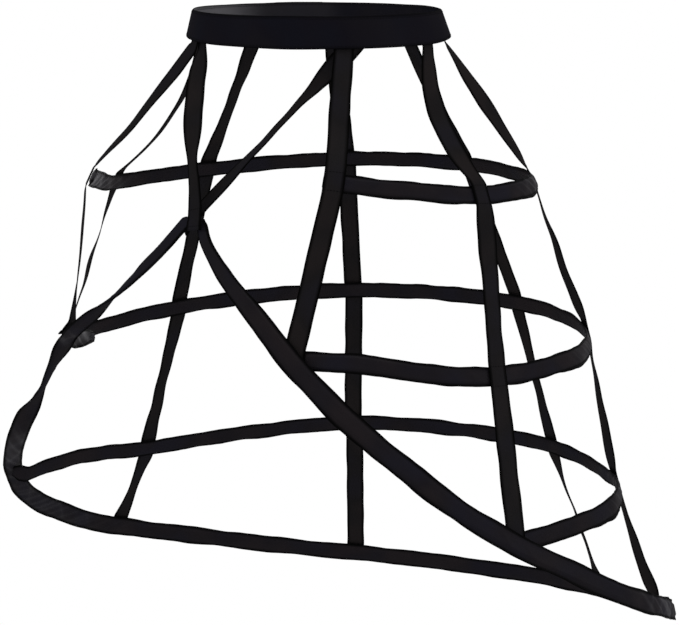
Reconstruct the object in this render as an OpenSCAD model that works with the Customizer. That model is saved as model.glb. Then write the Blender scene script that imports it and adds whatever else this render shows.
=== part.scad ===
// Crinoline cage with an open front: three boned hoops and a slanted hem hoop that rises to a
// point at the front, all hung from a waistband on sewn fabric tapes.
// The origin is the middle of the waist. Azimuth 0 is +X and -90 is -Y.

/* [Waistband] */
// Inner radius of the waist
waist_r = 119; // [105:1:140]
// Height of the waistband
waist_h = 30; // [24:1:45]
// How much further out the lower edge of the outer layer stands
waist_flare = 6; // [5:0.5:10]
// Thickness of the outer layer
band_t = 1.6; // [1:0.1:2.4]
// Thickness of the inner facing
facing_t = 1.2; // [0.8:0.1:2]
// Depth of the tape ends inside the lower edge
seam_depth = 8; // [5:1:14]

/* [Back closure] */
// Azimuth where the overlapping end starts
closure_az = 88; // [84:1:96]
// Angle covered by the overlapping end
closure_angle = 22; // [14:1:30]
// Thickness of each fastening strip
strip_t = 0.8; // [0.5:0.1:1.2]
// Height of the fastening strips
strip_h = 22; // [14:1:23]

/* [Hoops] */
// Radius of the upper hoop at the back
upper_r = 220; // [205:1:235]
// Drop of the upper hoop at the back
upper_drop = 158; // [140:1:175]
// Radius of the middle hoop at the back
middle_r = 266; // [255:1:278]
// Drop of the middle hoop at the back
middle_drop = 310; // [295:1:325]
// Radius of the lower hoop at the back
lower_r = 312; // [304:1:320]
// Drop of the lower hoop at the back
lower_drop = 472; // [455:1:485]
// Radius of the hem hoop at the back
hem_r = 356; // [345:1:370]
// Drop of the hem hoop at its lowest
hem_drop = 642; // [625:1:660]
// Radius of the point where the hem's two ends meet at the front
apex_r = 181; // [172:1:190]
// Drop of the point where the hem's two ends meet at the front
apex_drop = 172; // [160:1:184]

/* [Casings] */
// Width of the casing on the three hoops
hoop_casing_w = 19; // [17:0.5:22]
// Width of the casing on the hem hoop
hem_casing_w = 22; // [20:0.5:26]
// Thickness of the casing fabric
casing_wall = 0.8; // [0.5:0.1:1.2]

/* [Bones] */
// Width of the bones
bone_w = 8; // [6:0.5:9]
// Thickness of the bones
bone_t = 1.6; // [1:0.1:2.2]
// Length of the cap on each bone end
tip_len = 9; // [6:0.5:12]
// Wall of the cap on each bone end
tip_wall = 0.4; // [0.3:0.05:0.6]
// Distance from a casing's end to the cap inside it
tip_inset = 5; // [3:0.5:8]

/* [Tapes] */
// Width of the tapes
tape_w = 20; // [14:0.5:22]
// Thickness of the tapes
tape_t = 0.9; // [0.6:0.1:1.2]

/* [Fits] */
// Clearance between layers that are sewn together
sew_gap = 0.3; // [0.2:0.05:0.5]
// Side room of a bone in its casing
bone_room = 0.6; // [0.4:0.1:1]

/* [Hidden] */
$fn = 96;

satin = "#17171b";
ribbon = "#1d1d22";
bone_colour = "#c9c6bd";
tip_colour = "#3a3a40";

// Rings swept between two neighbouring stations
hoop_steps = 6;
hem_steps = 4;

// Depth of the bone's pocket and of the whole casing
slot_room = 0.2;
tip_t = bone_t + 2 * (slot_room + tip_wall);
pocket_t = tip_t + 2 * sew_gap;
casing_t = pocket_t + 2 * casing_wall;
// From a casing's middle to the middle of a tape on its face
tape_seat = casing_t / 2 + sew_gap + tape_t / 2;
// From the hem casing's middle to a hoop end behind it, with a tape between them
tuck_room = 2.6;
tuck = casing_t + tape_t + 2 * sew_gap + tuck_room;
// More room where the hem casing is turned on edge
turn_room = 13;
// How far a tape keeps to a casing's face past its edge
seat_edge = 1.5;
// How far a tape's end stops short of the casing's lower edge
end_short = 2;

// Lean of each hoop's face, the slope from the hoop above to the hoop below
upper_lean = atan((middle_r - waist_r) / middle_drop);
middle_lean = atan((lower_r - upper_r) / (lower_drop - upper_drop));
lower_lean = atan((hem_r - middle_r) / (hem_drop - middle_drop));
hem_lean = atan((hem_r - lower_r) / (hem_drop - lower_drop));

// Stations of the upper hoop: azimuth, then how much further out and higher it is than at the back,
// in percent of its radius
upper_shape = [
    [189, 0, 6], [172, 1.4, 0.5], [156, 2.3, -4.1], [122, 0.9, -3.6], [81, 0, 0], [46, -0.9, 0.9],
    [15, -2.3, 0.9], [-15, -2.7, 3.2], [-45, -2.7, 4.5], [-68, -6.4, 9.1], [-88, -11.8, 12.7]
];
// Stations of the other two hoops start with the share of the way from the left end to the right end
middle_shape = [
    [0.058, -0.8, -1.5], [0.14, -1.5, -5.6], [0.23, -0.8, -4.4], [0.383, 0, -0.3], [0.533, 1.1, 1.1],
    [0.617, 1.5, 0.8], [0.686, 1.5, -0.4], [0.777, 1.5, 0.4], [0.847, 0, 0.8], [0.9, -2.3, 3.8],
    [0.948, -3.4, 7.4]
];
lower_shape = [
    [0.08, -0.6, -2.2], [0.159, 0.6, -4.8], [0.256, 0.3, -3.2], [0.367, 0, 0], [0.473, -0.3, 0.6],
    [0.584, -0.6, 1.3], [0.681, -1.6, 0.6], [0.773, -2.6, 2.9], [0.866, -2.6, 4.5], [0.944, -1.6, 5.4]
];
// How much higher than at the back their left and right ends meet the hem, in percent of the radius
middle_ends = [6, 8.7];
lower_ends = [-0.6, 6.2];
// The share of a hoop's length over which its end draws in to the hem
draw_in = 0.15;
// Stations of the hem: azimuth, shares of the way in and up to the front point, the turn of the casing
// about its length and its share of full width
hem_shape = [
    [-126, 1, 1, 0, 0.6], [-123, 0.966, 0.957, 4, 0.62], [-114, 0.897, 0.891, 5, 0.76],
    [-104, 0.789, 0.826, 0, 0.92], [-89, 0.623, 0.694, 0, 1], [-74, 0.44, 0.564, 0, 1],
    [-61, 0.297, 0.449, 0, 1], [-47, 0.149, 0.347, 0, 1], [-30, 0.006, 0.236, 0, 1],
    [-3, -0.023, 0.111, 0, 1], [17, -0.017, 0.047, 0, 1], [41, -0.011, 0.013, 0, 1], [67, 0, 0, 0, 1],
    [98, 0.011, 0.029, 0, 1], [130, 0.011, 0.125, 0, 1], [146, 0, 0.213, 0, 1],
    [156, 0.034, 0.294, -10, 1], [165, 0.14, 0.396, -45, 1], [172.5, 0.297, 0.502, -70, 1],
    [180, 0.462, 0.6, -20, 1], [190, 0.592, 0.706, -64, 1], [204, 0.657, 0.78, -80, 1],
    [214, 0.771, 0.853, -33, 0.85], [222, 0.891, 0.928, -6, 0.7], [229, 1, 1, 0, 0.64]
];

function unit(v) = v / norm(v);
function polar(c) = [c[1] * cos(c[0]), c[1] * sin(c[0]), c[2]];
function percent(p) = p / 100;

// A smooth curve through the stations, in azimuth, radius and height
function pick(route, i) = route[max(0, min(len(route) - 1, i))];
function ends(route) = len(route) - 1;
function curve(a, b, c, d, t) =
    0.5 * (2 * b + (c - a) * t + (2 * a - 5 * b + 4 * c - d) * t ^ 2 + (3 * b - a - 3 * c + d) * t ^ 3);
function along(route, s) =
    let (i = max(0, min(floor(s), ends(route) - 1)))
    curve(pick(route, i - 1), pick(route, i), pick(route, i + 1), pick(route, i + 2), s - i);
function spot(route, s) = polar(along(route, s));

// The place on a route where its azimuth (0) or height (2) has a value
function find(route, part, value, low, high, tries = 30) =
    let (mid = (low + high) / 2)
    tries == 0 ? mid :
    (along(route, mid)[part] - value) * (along(route, low)[part] - value) > 0
        ? find(route, part, value, mid, high, tries - 1)
        : find(route, part, value, low, mid, tries - 1);

function turned(v, axis, angle) =
    v * cos(angle) + cross(axis, v) * sin(angle) + axis * (axis * v) * (1 - cos(angle));

// A place on a hoop: centre, heading, face normal, direction across to its edge, share of width
probe = 0.02;
function normal_at(az, lean) = [cos(az) * cos(lean), sin(az) * cos(lean), sin(lean)];
function frame(route, s, lean) =
    let (
        here = along(route, s),
        ahead = spot(route, min(s + probe, ends(route))),
        behind = spot(route, max(s - probe, 0)),
        heading = unit(ahead - behind),
        rough = normal_at(here[0], lean),
        level = unit(rough - (rough * heading) * heading),
        face = turned(level, heading, here[3])
    )
    [polar(here), heading, face, cross(face, heading), here[4]];
function upward(v) = v[2] < 0 ? -v : v;

// The hem runs from the right of the front point round the back to its left
hem_route = [
    for (p = hem_shape)
        [p[0], hem_r + p[1] * (apex_r - hem_r), p[2] * (hem_drop - apex_drop) - hem_drop, p[3], p[4]]
];
hem_low = 12;
function hem_place(height, left) =
    left ? find(hem_route, 2, height, hem_low, ends(hem_route)) : find(hem_route, 2, height, 0, hem_low);
function behind_hem(place, left) =
    let (
        f = frame(hem_route, place, hem_lean),
        turn = along(hem_route, place)[3],
        level = turned(f[2], f[1], -turn),
        p = f[0] - level * (tuck + turn_room * abs(sin(turn))),
        az = atan2(p[1], p[0])
    )
    [left && az < 0 ? az + 360 : az, norm([p[0], p[1]]), p[2], 0, 1];

upper_route = [
    for (p = upper_shape)
        [p[0], upper_r * (1 + percent(p[1])), upper_r * percent(p[2]) - upper_drop, 0, 1]
];

// Places on the hem where a hoop's left and right ends meet it, and the hoop between them
function meets(r, drop, rises) = [
    hem_place(r * percent(rises[0]) - drop, true),
    hem_place(r * percent(rises[1]) - drop, false)
];
function near_end(share) = max(0, 1 - share / draw_in) ^ 2;
function hoop_route(shape, r, drop, places) =
    let (start = behind_hem(places[0], true), stop = behind_hem(places[1], false))
    concat(
        [start],
        [
            for (p = shape)
                let (pull = near_end(p[0]) * (start[1] - r) + near_end(1 - p[0]) * (stop[1] - r))
                [
                    start[0] + p[0] * (stop[0] - start[0]),
                    r * (1 + percent(p[1])) + pull,
                    r * percent(p[2]) - drop,
                    0,
                    1
                ]
        ],
        [stop]
    );
middle_meets = meets(middle_r, middle_drop, middle_ends);
lower_meets = meets(lower_r, lower_drop, lower_ends);
middle_route = hoop_route(middle_shape, middle_r, middle_drop, middle_meets);
lower_route = hoop_route(lower_shape, lower_r, lower_drop, lower_meets);

// Sections across a casing: sewn edges with a pocket between them
function lens(edge, flat, thick) = [
    [-edge, 0], [-flat, thick / 2], [flat, thick / 2], [edge, 0], [flat, -thick / 2], [-flat, -thick / 2]
];
function plate(wide, thick) = [
    [-wide, thick], [wide, thick], [wide, -thick], [-wide, -thick]
] / 2;
pocket_flat = bone_w / 2 + bone_room;
pocket = lens(pocket_flat + pocket_t / 2, pocket_flat, pocket_t);
function shell(casing_w) = lens(casing_w / 2, pocket_flat + casing_wall / 2, casing_t);

// Rings and faces of a swept solid. The section's second half is split along the other diagonal,
// so that facing sides stay parallel where the sweep twists.
function ring(f, section) = [for (p = section) f[0] + f[3] * p[0] + f[2] * p[1]];
function side_faces(rings, n, first, flip) = [
    for (i = [0 : rings - 2], k = [0 : n - 1])
        let (
            a = first + i * n + k,
            b = first + i * n + (k + 1) % n,
            c = a + n,
            d = b + n
        )
        each k < n / 2
            ? (flip ? [[a, c, b], [b, c, d]] : [[a, b, c], [b, d, c]])
            : (flip ? [[a, d, b], [a, c, d]] : [[a, b, d], [a, d, c]])
];
function rim_faces(outer, inner, n, flip) = [
    for (k = [0 : n - 1])
        let (
            a = outer + k,
            b = outer + (k + 1) % n,
            c = inner + k,
            d = inner + (k + 1) % n
        )
        each flip ? [[a, c, b], [b, c, d]] : [[a, b, c], [b, d, c]]
];

// A hollow sleeve along a list of frames, narrowed where the frames say so
module sleeve(frames, casing_w) {
    n = len(pocket);
    count = len(frames);
    half = count * n;
    polyhedron(
        points = concat(
            [for (f = frames) each ring(f, shell(casing_w * f[4]))],
            [for (f = frames) each ring(f, pocket)]
        ),
        faces = concat(
            side_faces(count, n, 0, false),
            side_faces(count, n, half, true),
            rim_faces(0, half, n, true),
            rim_faces(half - n, 2 * half - n, n, false)
        )
    );
}

// A solid strip along a list of frames
module strip(frames, section) {
    n = len(section);
    count = len(frames);
    polyhedron(
        points = [for (f = frames) each ring(f, section)],
        faces = concat(
            side_faces(count, n, 0, false),
            [[for (k = [n - 1 : -1 : 0]) k]],
            [[for (k = [0 : n - 1]) (count - 1) * n + k]]
        )
    );
}

function sweep_places(route, steps) = [for (i = [0 : ends(route) * steps]) i / steps];
function hoop_frames(route, lean, steps) = [for (s = sweep_places(route, steps)) frame(route, s, lean)];

// Places near the two ends of a route, a given distance in
function near_start(route, dist) = dist / norm(spot(route, 1) - spot(route, 0));
function near_stop(route, dist) =
    ends(route) - dist / norm(spot(route, ends(route)) - spot(route, ends(route) - 1));

// A bone stops inside its casing, and its last stretch at each end is as long as the cap there
bone_inset = tip_inset + tip_wall + slot_room;
cap_inset = tip_inset + tip_len;
function bone_places(route, steps) =
    let (start = near_start(route, cap_inset), stop = near_stop(route, cap_inset))
    concat(
        [near_start(route, bone_inset), start],
        [for (s = sweep_places(route, steps)) if (s > start && s < stop) s],
        [stop, near_stop(route, bone_inset)]
    );
function bone_frames(route, lean, steps) = [for (s = bone_places(route, steps)) frame(route, s, lean)];

module casing(route, lean, steps, casing_w) {
    color(satin) sleeve(hoop_frames(route, lean, steps), casing_w);
}

module bone(route, lean, steps) {
    color(bone_colour) strip(bone_frames(route, lean, steps), plate(bone_w, bone_t));
}

// A round-ended cap, its slot open towards -X, its closed end at the origin
module tip_cap() {
    wide = bone_w + tip_wall;
    corner = wide / 4;
    difference() {
        linear_extrude(tip_t, center = true) {
            translate([-tip_len, -wide / 2]) square([tip_len - corner, wide]);
            translate([-corner, -wide / 2 + corner]) square([corner, wide - 2 * corner]);
            for (side = [-1, 1]) translate([-corner, side * (wide / 2 - corner)]) circle(corner);
        }
        translate([-tip_len - tip_wall, -wide, -bone_t / 2 - slot_room])
            cube([tip_len, 2 * wide, bone_t + 2 * slot_room]);
    }
}

// Stands a cap on the last stretch of a bone, from its inner place to its end
module cap_on(inner, end) {
    x = unit(end[0] - inner[0]);
    y = unit(cross(end[2], x));
    z = cross(x, y);
    place = end[0] + x * (tip_wall + slot_room);
    multmatrix([
        [x[0], y[0], z[0], place[0]],
        [x[1], y[1], z[1], place[1]],
        [x[2], y[2], z[2], place[2]],
        [0, 0, 0, 1]
    ]) tip_cap();
}

module bone_tips(route, lean, steps) {
    frames = bone_frames(route, lean, steps);
    last = len(frames) - 1;
    color(tip_colour) {
        cap_on(frames[1], frames[0]);
        cap_on(frames[last - 1], frames[last]);
    }
}

// Waistband layers as revolved profiles
facing_out = waist_r + facing_t;
band_in_top = facing_out + sew_gap;
function band_in(z) = band_in_top + waist_flare * (waist_h / 2 - z) / waist_h;
module conical_layer(low, high, offset, thick, from, angle) {
    rotate([0, 0, from]) rotate_extrude(angle = angle) polygon([
        [band_in(low) + offset, low],
        [band_in(low) + offset + thick, low],
        [band_in(high) + offset + thick, high],
        [band_in(high) + offset, high]
    ]);
}

module waistband() {
    color(satin) conical_layer(-waist_h / 2, waist_h / 2, 0, band_t, 0, 360);
}

module waist_facing() {
    color(ribbon) difference() {
        cylinder(h = waist_h, r = facing_out, center = true);
        cylinder(h = waist_h + 2, r = waist_r, center = true);
    }
}

loop_offset = band_t + sew_gap;
hook_offset = loop_offset + strip_t + sew_gap;
flap_offset = hook_offset + strip_t + sew_gap;
strip_margin = 2;

module loop_strip() {
    color(ribbon)
        conical_layer(-strip_h / 2, strip_h / 2, loop_offset, strip_t, closure_az + strip_margin,
            closure_angle - 2 * strip_margin);
}

module hook_strip() {
    color(tip_colour)
        conical_layer(-strip_h / 2, strip_h / 2, hook_offset, strip_t, closure_az + strip_margin,
            closure_angle - 2 * strip_margin);
}

module closure_flap() {
    color(satin)
        conical_layer(-waist_h / 2, waist_h / 2, flap_offset, band_t, closure_az, closure_angle);
}

// Points of a tape: a centre and the direction that its face looks in
flat_sag = tape_w ^ 2 / 8 / waist_r;
layer_pitch = tape_t + sew_gap + 3 * flat_sag;
hang = 3;
function waist_point(az, z, layer) =
    let (r = band_in(z) - 2 * flat_sag - sew_gap - tape_t / 2 - layer * layer_pitch)
    [polar([az, r, z]), [cos(az), sin(az), 0]];
function waist_points(az_top, az_edge, layer) = [
    waist_point(az_top, seam_depth - waist_h / 2, layer),
    waist_point(az_edge, -hang - waist_h / 2, layer)
];

function at_azimuth(route, az) = find(route, 0, az, 0, ends(route));
function seat(route, lean, az, upper, lower) =
    let (f = frame(route, at_azimuth(route, az), lean), up = upward(f[3]), base = f[0] + f[2] * tape_seat)
    [[base + up * upper, f[2]], [base - up * lower, f[2]]];
function over(route, lean, casing_w, az) =
    seat(route, lean, az, casing_w / 2 + seat_edge, casing_w / 2 + seat_edge);
function ending(route, lean, casing_w, az) =
    seat(route, lean, az, casing_w / 2 + seat_edge, casing_w / 2 - end_short);

function on_upper(az) = over(upper_route, upper_lean, hoop_casing_w, az);
function on_middle(az) = over(middle_route, middle_lean, hoop_casing_w, az);
function on_lower(az) = over(lower_route, lower_lean, hoop_casing_w, az);
function end_middle(az) = ending(middle_route, middle_lean, hoop_casing_w, az);
function end_hem(az) = ending(hem_route, hem_lean, hem_casing_w, az);

// A tape's end flat on the hem where it climbs, on the casing's outer (1) or inner (-1) face
climb_seat = tape_seat + 3 * sew_gap;
climb_reach = 10;
climb_end = 3;
function on_climb(place, side) =
    let (
        f = frame(hem_route, place, hem_lean),
        base = f[0] + f[2] * side * climb_seat,
        rise = unit([0, 0, 1] - f[2] * f[2][2])
    )
    [[base + rise * climb_reach, f[2]], [base - rise * climb_end, f[2]]];

// A point between two others, pushed along the face and turned about the tape
function between(a, b, share, push, turn) =
    let (axis = unit(b[0] - a[0]), face = unit(a[1] * (1 - share) + b[1] * share))
    [a[0] * (1 - share) + b[0] * share + face * push, turned(face, axis, turn)];

// The free stretch between two seats: a bow, in percent of its length, that turns and turns back
stretch_parts = 7;
function stretch(a, b, push, turn) = [
    for (i = [1 : stretch_parts - 1])
        let (share = i / stretch_parts, swell = sin(180 * share), span = norm(b[0] - a[0]))
        between(a, b, share, span * percent(push) * swell, turn * swell)
];
function hung(seats, slacks) = [
    for (i = [0 : len(seats) - 1])
        each i == 0
            ? seats[0]
            : concat(stretch(seats[i - 1][1], seats[i][0], slacks[i - 1][0], slacks[i - 1][1]), seats[i])
];
function tape_frames(points) =
    let (last = len(points) - 1)
    [
        for (i = [0 : last])
            let (
                heading = unit(points[min(i + 1, last)][0] - points[max(i - 1, 0)][0]),
                edge = unit(cross(points[i][1], heading))
            )
            [points[i][0], heading, cross(heading, edge), edge]
    ];

// A tape through its seats, with the bow and turn of each stretch between them
module tape(seats, slacks) {
    color(ribbon) strip(tape_frames(hung(seats, slacks)), plate(tape_w, tape_t));
}

// The front point, where the two ends of the hem meet
apex_start = frame(hem_route, 0, hem_lean);
apex_stop = frame(hem_route, ends(hem_route), hem_lean);
apex = (apex_start[0] + apex_stop[0]) / 2;
apex_az = atan2(apex[1], apex[0]);
apex_face = normal_at(apex_az, hem_lean);
apex_side = [-sin(apex_az), cos(apex_az), 0];
apex_up = cross(apex_face, apex_side);
apex_reach = hem_casing_w / 2;
apex_room = 2.2;
apex_seat = tape_seat + apex_room;
function apex_point(out, side, up) =
    [apex + apex_face * out + apex_side * side + apex_up * up, apex_face];

// The tapes that carry the front point share the waist with the tapes beside it
left_share_az = -160;
front_share_az = -78;
// How far along the hem, in stations, the last tapes land from the ends of the hoops
left_end_step = -0.15;
front_end_step = 0.06;

module hip_tape() {
    tape(
        [
            waist_points(left_share_az + 4, left_share_az + 7, 1),
            [apex_point(apex_seat, 0, apex_reach), apex_point(apex_seat, 0, -apex_reach)]
        ],
        [[4, -40]]
    );
}

module cross_tape() {
    tape(
        [
            waist_points(front_share_az + 7, front_share_az + 2, 1),
            [
                apex_point(-apex_seat, 0, apex_reach),
                apex_point(-apex_seat, -1.5 * apex_reach, -apex_reach)
            ]
        ],
        [[0, 70]]
    );
}

module left_end_tape() {
    tape(
        [
            waist_points(left_share_az, left_share_az, 0),
            on_upper(183),
            on_climb(middle_meets[0] + left_end_step, 1)
        ],
        [[-2, -8], [-1.5, 0]]
    );
}

module left_tape() {
    tape([waist_points(157, 157, 0), on_upper(155.5), end_middle(172)], [[-10, -16], [0, -22]]);
}

module back_left_tape() {
    tape(
        [waist_points(120.5, 120.5, 0), on_upper(122), on_middle(125), on_lower(127.5), end_hem(130)],
        [[-1, -25], [0, -10], [0, -20], [0, -25]]
    );
}

module back_tape() {
    tape(
        [waist_points(83, 83, 0), on_upper(82.5), on_middle(82), on_lower(83), end_hem(83.5)],
        [[-2, 0], [0, 0], [0, 0], [0, 0]]
    );
}

module back_right_tape() {
    tape(
        [waist_points(44, 44, 0), on_upper(45), on_middle(39), on_lower(36), end_hem(31)],
        [[-2, 0], [0, 0], [0, 15], [0, 50]]
    );
}

module right_tape() {
    tape(
        [waist_points(4, 4, 0), on_upper(10), on_middle(6), on_lower(8), end_hem(11)],
        [[0, 45], [-1, -12], [0, -5], [-2, -25]]
    );
}

module front_right_tape() {
    tape(
        [
            waist_points(-32, -32, 0),
            on_upper(-45),
            on_middle(-51.5),
            on_climb(lower_meets[1] + front_end_step, -1)
        ],
        [[-11, 35], [0, 25], [0, 5]]
    );
}

module front_tape() {
    tape(
        [
            waist_points(front_share_az, front_share_az, 0),
            on_upper(-85),
            on_climb(middle_meets[1] + front_end_step, -1)
        ],
        [[-2, 0], [0, 0]]
    );
}

module upper_casing() { casing(upper_route, upper_lean, hoop_steps, hoop_casing_w); }
module middle_casing() { casing(middle_route, middle_lean, hoop_steps, hoop_casing_w); }
module lower_casing() { casing(lower_route, lower_lean, hoop_steps, hoop_casing_w); }
module hem_casing() { casing(hem_route, hem_lean, hem_steps, hem_casing_w); }

module upper_bone() { bone(upper_route, upper_lean, hoop_steps); }
module middle_bone() { bone(middle_route, middle_lean, hoop_steps); }
module lower_bone() { bone(lower_route, lower_lean, hoop_steps); }
module hem_bone() { bone(hem_route, hem_lean, hem_steps); }

module upper_bone_tips() { bone_tips(upper_route, upper_lean, hoop_steps); }
module middle_bone_tips() { bone_tips(middle_route, middle_lean, hoop_steps); }
module lower_bone_tips() { bone_tips(lower_route, lower_lean, hoop_steps); }
module hem_bone_tips() { bone_tips(hem_route, hem_lean, hem_steps); }

waistband();
waist_facing();
closure_flap();
hook_strip();
loop_strip();
upper_casing();
middle_casing();
lower_casing();
hem_casing();
upper_bone();
middle_bone();
lower_bone();
hem_bone();
upper_bone_tips();
middle_bone_tips();
lower_bone_tips();
hem_bone_tips();
hip_tape();
cross_tape();
left_end_tape();
left_tape();
back_left_tape();
back_tape();
back_right_tape();
right_tape();
front_right_tape();
front_tape();
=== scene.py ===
import math
import random

import bpy
import numpy as np
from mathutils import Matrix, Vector


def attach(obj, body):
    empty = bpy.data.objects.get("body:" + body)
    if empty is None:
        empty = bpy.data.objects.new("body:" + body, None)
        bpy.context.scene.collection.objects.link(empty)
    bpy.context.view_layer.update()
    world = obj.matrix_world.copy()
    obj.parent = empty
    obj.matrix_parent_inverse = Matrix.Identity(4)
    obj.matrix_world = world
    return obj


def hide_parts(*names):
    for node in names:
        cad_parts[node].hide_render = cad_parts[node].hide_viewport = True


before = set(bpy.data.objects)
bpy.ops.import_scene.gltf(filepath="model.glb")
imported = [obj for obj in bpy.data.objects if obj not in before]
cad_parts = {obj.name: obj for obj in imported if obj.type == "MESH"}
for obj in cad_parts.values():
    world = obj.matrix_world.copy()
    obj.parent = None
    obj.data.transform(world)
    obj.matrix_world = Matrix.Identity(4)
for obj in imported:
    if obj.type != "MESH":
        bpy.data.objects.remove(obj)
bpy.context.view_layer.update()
mm = 0.001  # the sizes below are in millimetres, Blender's in metres
print("frame loaded:", len(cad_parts), "nodes")


# The photograph's camera

photoView = {
    "imageWidth": 679,  # pixels
    "focalLength": 2400,  # pixels
    "sensorWidth": 36,
    "elevation": 10.5,  # degrees, looking down
    "distance": 2400,
    "lookAt": (22, 0, -286.7),
    "clipEnd": 200,  # metres
}


def makeCamera(view):
    tilt = math.radians(view["elevation"])
    data = bpy.data.cameras.new("photoCamera")
    data.sensor_width = view["sensorWidth"]
    data.lens = view["sensorWidth"] * view["focalLength"] / view["imageWidth"]
    data.clip_end = view["clipEnd"]
    camera = bpy.data.objects.new("photoCamera", data)
    back = Vector((0, -math.cos(tilt), math.sin(tilt)))
    camera.location = (Vector(view["lookAt"]) + back * view["distance"]) * mm
    camera.rotation_euler = (math.pi / 2 - tilt, 0, 0)
    bpy.context.scene.collection.objects.link(camera)
    bpy.context.scene.camera = camera


makeCamera(photoView)
print("camera placed")


# The hoops' routes in azimuth, radius and height

waist = {
    "radius": 119,
    "height": 30,
    "flare": 6,  # how much further out the lower edge stands
    "bandThick": 1.6,
    "facingThick": 1.2,
    "seamDepth": 8,  # how far the tapes reach up behind the band
    "hang": 3,  # how far below the band they hang straight
    "flapStart": 88,  # azimuth of the overlapping end
    "flapAngle": 22,
    "stripThick": 0.8,  # each half of the fastening
}

sewGap = 0.3  # between pieces that are sewn together
casingThick = 5.0  # room that a casing and its bone take up
tapeCut = {"width": 20, "thick": 0.9}
tapeSeat = casingThick / 2 + sewGap + tapeCut["thick"] / 2  # casing's middle to the middle of a tape on it
seatEdge = 1.5  # how far a tape lies flat beyond a casing's edge
endShort = 2  # how far a tape's end stops short of a casing's lower edge

upperHoop = {
    "radius": 220,
    "drop": 158,
    "width": 19,
    "stations": [  # azimuth, percent further out, percent higher
        [189, 0, 6], [172, 1.4, 0.5], [156, 2.3, -4.1], [122, 0.9, -3.6], [81, 0, 0], [46, -0.9, 0.9],
        [15, -2.3, 0.9], [-15, -2.7, 3.2], [-45, -2.7, 4.5], [-68, -6.4, 9.1], [-88, -11.8, 12.7],
    ],
}
middleHoop = {
    "radius": 266,
    "drop": 310,
    "width": 19,
    "ends": [6, 8.7],  # percent higher where the left and right ends meet the hem
    "stations": [  # share of the way round, percent further out, percent higher
        [0.058, -0.8, -1.5], [0.14, -1.5, -5.6], [0.23, -0.8, -4.4], [0.383, 0, -0.3], [0.533, 1.1, 1.1],
        [0.617, 1.5, 0.8], [0.686, 1.5, -0.4], [0.777, 1.5, 0.4], [0.847, 0, 0.8], [0.9, -2.3, 3.8],
        [0.948, -3.4, 7.4],
    ],
}
lowerHoop = {
    "radius": 312,
    "drop": 472,
    "width": 19,
    "ends": [-0.6, 6.2],
    "stations": [
        [0.08, -0.6, -2.2], [0.159, 0.6, -4.8], [0.256, 0.3, -3.2], [0.367, 0, 0], [0.473, -0.3, 0.6],
        [0.584, -0.6, 1.3], [0.681, -1.6, 0.6], [0.773, -2.6, 2.9], [0.866, -2.6, 4.5], [0.944, -1.6, 5.4],
    ],
}
hemHoop = {
    "radius": 356,
    "drop": 642,
    "width": 22,
    "apexRadius": 181,
    "apexDrop": 172,
    "lowest": 12,  # index of the lowest station
    "stations": [  # azimuth, shares of the way in and up to the front point, turn, share of width
        [-126, 1, 1, 0, 0.6], [-123, 0.966, 0.957, 4, 0.62], [-114, 0.897, 0.891, 5, 0.76],
        [-104, 0.789, 0.826, 0, 0.92], [-89, 0.623, 0.694, 0, 1], [-74, 0.44, 0.564, 0, 1],
        [-61, 0.297, 0.449, 0, 1], [-47, 0.149, 0.347, 0, 1], [-30, 0.006, 0.236, 0, 1],
        [-3, -0.023, 0.111, 0, 1], [17, -0.017, 0.047, 0, 1], [41, -0.011, 0.013, 0, 1], [67, 0, 0, 0, 1],
        [98, 0.011, 0.029, 0, 1], [130, 0.011, 0.125, 0, 1], [146, 0, 0.213, 0, 1],
        [156, 0.034, 0.294, -10, 1], [165, 0.14, 0.396, -45, 1], [172.5, 0.297, 0.502, -70, 1],
        [180, 0.462, 0.6, -20, 1], [190, 0.592, 0.706, -64, 1], [204, 0.657, 0.78, -80, 1],
        [214, 0.771, 0.853, -33, 0.85], [222, 0.891, 0.928, -6, 0.7], [229, 1, 1, 0, 0.64],
    ],
}
drawIn = 0.15  # share of a hoop's length over which its end draws in to the hem
tuckRoom = 2.6
tuck = casingThick + tapeCut["thick"] + 2 * sewGap + tuckRoom  # how far behind the hem a hoop ends
turnRoom = 13  # and how much further where the hem stands edge-on


def lean(outward, downward):
    return math.degrees(math.atan(outward / downward))


upperHoop["lean"] = lean(middleHoop["radius"] - waist["radius"], middleHoop["drop"])
middleHoop["lean"] = lean(lowerHoop["radius"] - upperHoop["radius"], lowerHoop["drop"] - upperHoop["drop"])
lowerHoop["lean"] = lean(hemHoop["radius"] - middleHoop["radius"], hemHoop["drop"] - middleHoop["drop"])
hemHoop["lean"] = lean(hemHoop["radius"] - lowerHoop["radius"], hemHoop["drop"] - lowerHoop["drop"])


def unit(v):
    return v / np.linalg.norm(v, axis=-1, keepdims=True)


def polar(stations):
    az = np.radians(stations[..., 0])
    r = stations[..., 1]
    return np.stack([r * np.cos(az), r * np.sin(az), stations[..., 2]], -1)


def turned(v, axis, degrees):
    a = np.radians(np.asarray(degrees, float))[..., None]
    dot = (v * axis).sum(-1, keepdims=True)
    return v * np.cos(a) + np.cross(axis, v) * np.sin(a) + axis * dot * (1 - np.cos(a))


def along(route, place):  # Catmull-Rom through the stations
    place = np.asarray(place, float)
    i = np.clip(np.floor(place).astype(int), 0, len(route) - 2)
    t = (place - i)[..., None]
    a, b, c, d = (route[np.clip(i + k, 0, len(route) - 1)] for k in (-1, 0, 1, 2))
    return 0.5 * (2 * b + (c - a) * t + (2 * a - 5 * b + 4 * c - d) * t**2 + (3 * b - a - 3 * c + d) * t**3)


def findPlace(route, part, value, low, high):
    start = along(route, low)[part] - value
    for _ in range(30):  # halve the stretch until it is a point
        mid = (low + high) / 2
        if (along(route, mid)[part] - value) * start > 0:
            low = mid
        else:
            high = mid
    return mid


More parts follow.
